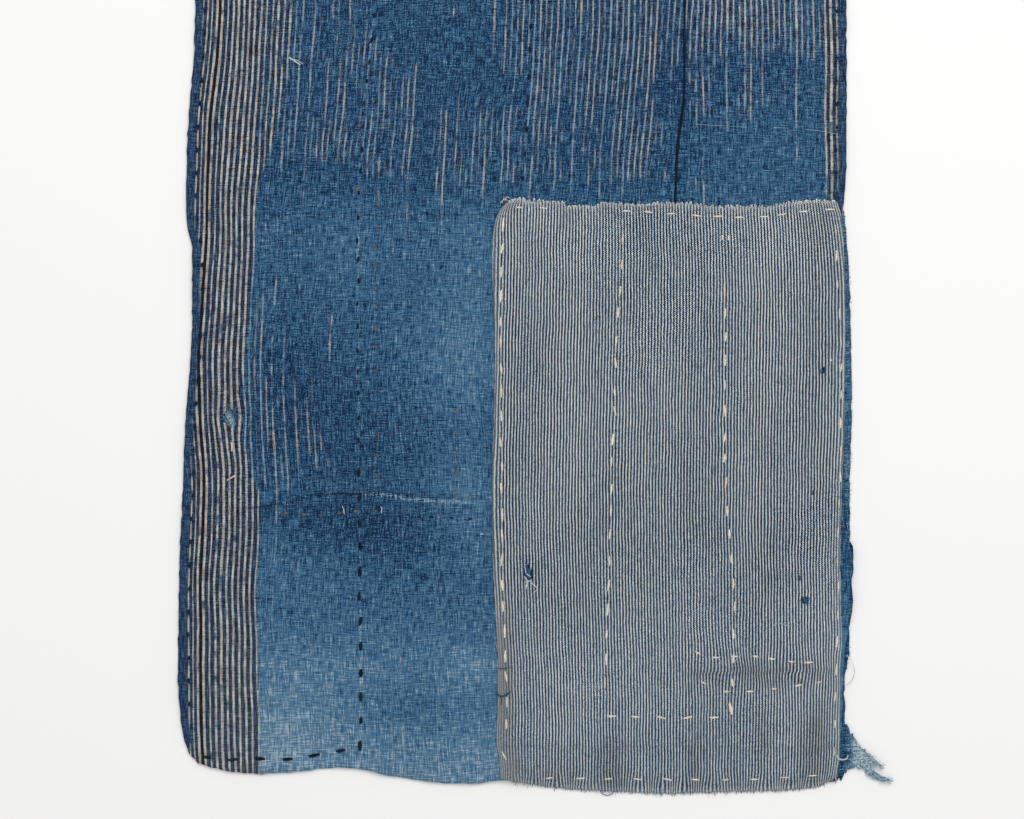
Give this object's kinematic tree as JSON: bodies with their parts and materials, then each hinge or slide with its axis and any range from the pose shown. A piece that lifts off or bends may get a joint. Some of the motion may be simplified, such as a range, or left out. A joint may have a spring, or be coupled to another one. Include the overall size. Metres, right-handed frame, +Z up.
{
  "type": "boro patched cloth",
  "caption": "Flat worn length of striped indigo cotton with hemmed edges, a plain blue backing and a large finely striped patch, quilted with rows of running stitches",
  "frame": {"origin": "on the surface that the cloth lies on, at the centre of its box", "axes": "+Z up out of the cloth's face, +Y along the warp towards the hemmed top edge, +X across the cloth towards the patch's side"},
  "size_m": [0.3698, 0.5, 0.0052],
  "materials": {
    "backing_cotton": "plain weave cotton, washed mid blue",
    "striped_cotton": "plain weave cotton, dark indigo with beige warp stripes, worn",
    "patch_cotton": "plain weave cotton, fine white and dark blue stripes"
  },
  "bodies": {
    "root": {"backing_cloth": "backing_cotton", "ground_cloth": "striped_cotton", "large_patch": "patch_cotton"}
  },
  "joints": []
}
